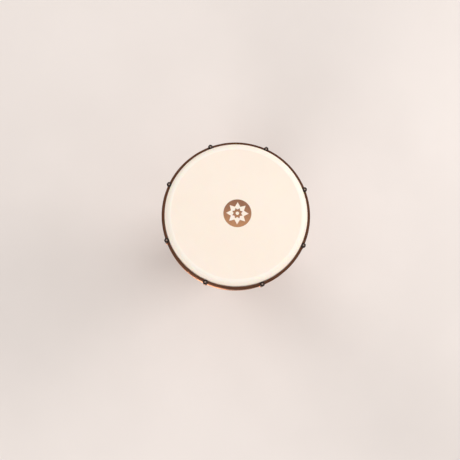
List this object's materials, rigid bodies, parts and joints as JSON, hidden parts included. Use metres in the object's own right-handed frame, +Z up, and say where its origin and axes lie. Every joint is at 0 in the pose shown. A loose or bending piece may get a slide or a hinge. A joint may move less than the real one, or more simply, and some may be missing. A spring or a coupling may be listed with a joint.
{
  "type": "goblet hand drum",
  "caption": "Goblet-shaped hand drum with a metal shell, a synthetic head and a bolted tension hoop that tunes it.",
  "frame": {"origin": "on the floor at the centre of the foot's rubber trim", "axes": "+Z up along the drum's axis of revolution, from the foot to the head; +X midway between two tension bolts"},
  "size_m": [0.2468, 0.2468, 0.43],
  "materials": {
    "copper_shell": "hand-hammered copper, lightly toned and lacquered",
    "foot_rubber": "matt black moulded rubber",
    "brass_fittings": "brushed brass, dulled in its corners",
    "cast_rim": "satin cast aluminium",
    "pad_rubber": "matt black strip",
    "lug_ring_metal": "copper plated, lightly polished",
    "bolt_steel": "black nickel, worn brighter on the flats",
    "head_film": "satin cream-white synthetic film with a brown printed rosette",
    "hoop_finish": "dark bronze-black finish, rubbed brown along its edges",
    "flesh_hoop": "rolled aluminium"
  },
  "bodies": {
    "shell": {"shell_bowl": "copper_shell", "shell_foot": "copper_shell", "foot_trim": "foot_rubber", "neck_sleeve": "brass_fittings", "neck_band": "brass_fittings", "neck_rivets": "brass_fittings", "bearing_rim": "cast_rim", "rim_rivets": "brass_fittings", "stop_bead": "brass_fittings", "lug_ring_pad": "pad_rubber", "lug_ring": "lug_ring_metal", "lug_inserts": "bolt_steel", "head_film": "head_film"},
    "hoop": {"counterhoop": "hoop_finish", "flesh_hoop": "flesh_hoop", "bolt_washers": "bolt_steel"},
    "bolt_1": {"tension_bolt_1": "bolt_steel"},
    "bolt_2": {"tension_bolt_2": "bolt_steel"},
    "bolt_3": {"tension_bolt_3": "bolt_steel"},
    "bolt_4": {"tension_bolt_4": "bolt_steel"},
    "bolt_5": {"tension_bolt_5": "bolt_steel"},
    "bolt_6": {"tension_bolt_6": "bolt_steel"},
    "bolt_7": {"tension_bolt_7": "bolt_steel"},
    "bolt_8": {"tension_bolt_8": "bolt_steel"}
  },
  "joints": [
    {"name": "hoop_draw", "type": "slide", "parent": "shell", "child": "hoop", "axis": [0, 0, 1], "range_m": [-0.0007, 0.0014]},
    {"name": "bolt_1_turn", "type": "hinge", "parent": "hoop", "child": "bolt_1", "pos_m": [0.11197, 0.04638, 0.4148], "axis": [0, 0, 1], "range_deg": [-360, 720]},
    {"name": "bolt_2_turn", "type": "hinge", "parent": "hoop", "child": "bolt_2", "pos_m": [0.04638, 0.11197, 0.4148], "axis": [0, 0, 1], "range_deg": [-360, 720]},
    {"name": "bolt_3_turn", "type": "hinge", "parent": "hoop", "child": "bolt_3", "pos_m": [-0.04638, 0.11197, 0.4148], "axis": [0, 0, 1], "range_deg": [-360, 720]},
    {"name": "bolt_4_turn", "type": "hinge", "parent": "hoop", "child": "bolt_4", "pos_m": [-0.11197, 0.04638, 0.4148], "axis": [0, 0, 1], "range_deg": [-360, 720]},
    {"name": "bolt_5_turn", "type": "hinge", "parent": "hoop", "child": "bolt_5", "pos_m": [-0.11197, -0.04638, 0.4148], "axis": [0, 0, 1], "range_deg": [-360, 720]},
    {"name": "bolt_6_turn", "type": "hinge", "parent": "hoop", "child": "bolt_6", "pos_m": [-0.04638, -0.11197, 0.4148], "axis": [0, 0, 1], "range_deg": [-360, 720]},
    {"name": "bolt_7_turn", "type": "hinge", "parent": "hoop", "child": "bolt_7", "pos_m": [0.04638, -0.11197, 0.4148], "axis": [0, 0, 1], "range_deg": [-360, 720]},
    {"name": "bolt_8_turn", "type": "hinge", "parent": "hoop", "child": "bolt_8", "pos_m": [0.11197, -0.04638, 0.4148], "axis": [0, 0, 1], "range_deg": [-360, 720]}
  ],
  "couplings": [
    {"joint": "bolt_1_turn", "follows": "hoop_draw", "rad_per_m": 8976},
    {"joint": "bolt_2_turn", "follows": "hoop_draw", "rad_per_m": 8976},
    {"joint": "bolt_3_turn", "follows": "hoop_draw", "rad_per_m": 8976},
    {"joint": "bolt_4_turn", "follows": "hoop_draw", "rad_per_m": 8976},
    {"joint": "bolt_5_turn", "follows": "hoop_draw", "rad_per_m": 8976},
    {"joint": "bolt_6_turn", "follows": "hoop_draw", "rad_per_m": 8976},
    {"joint": "bolt_7_turn", "follows": "hoop_draw", "rad_per_m": 8976},
    {"joint": "bolt_8_turn", "follows": "hoop_draw", "rad_per_m": 8976}
  ]
}
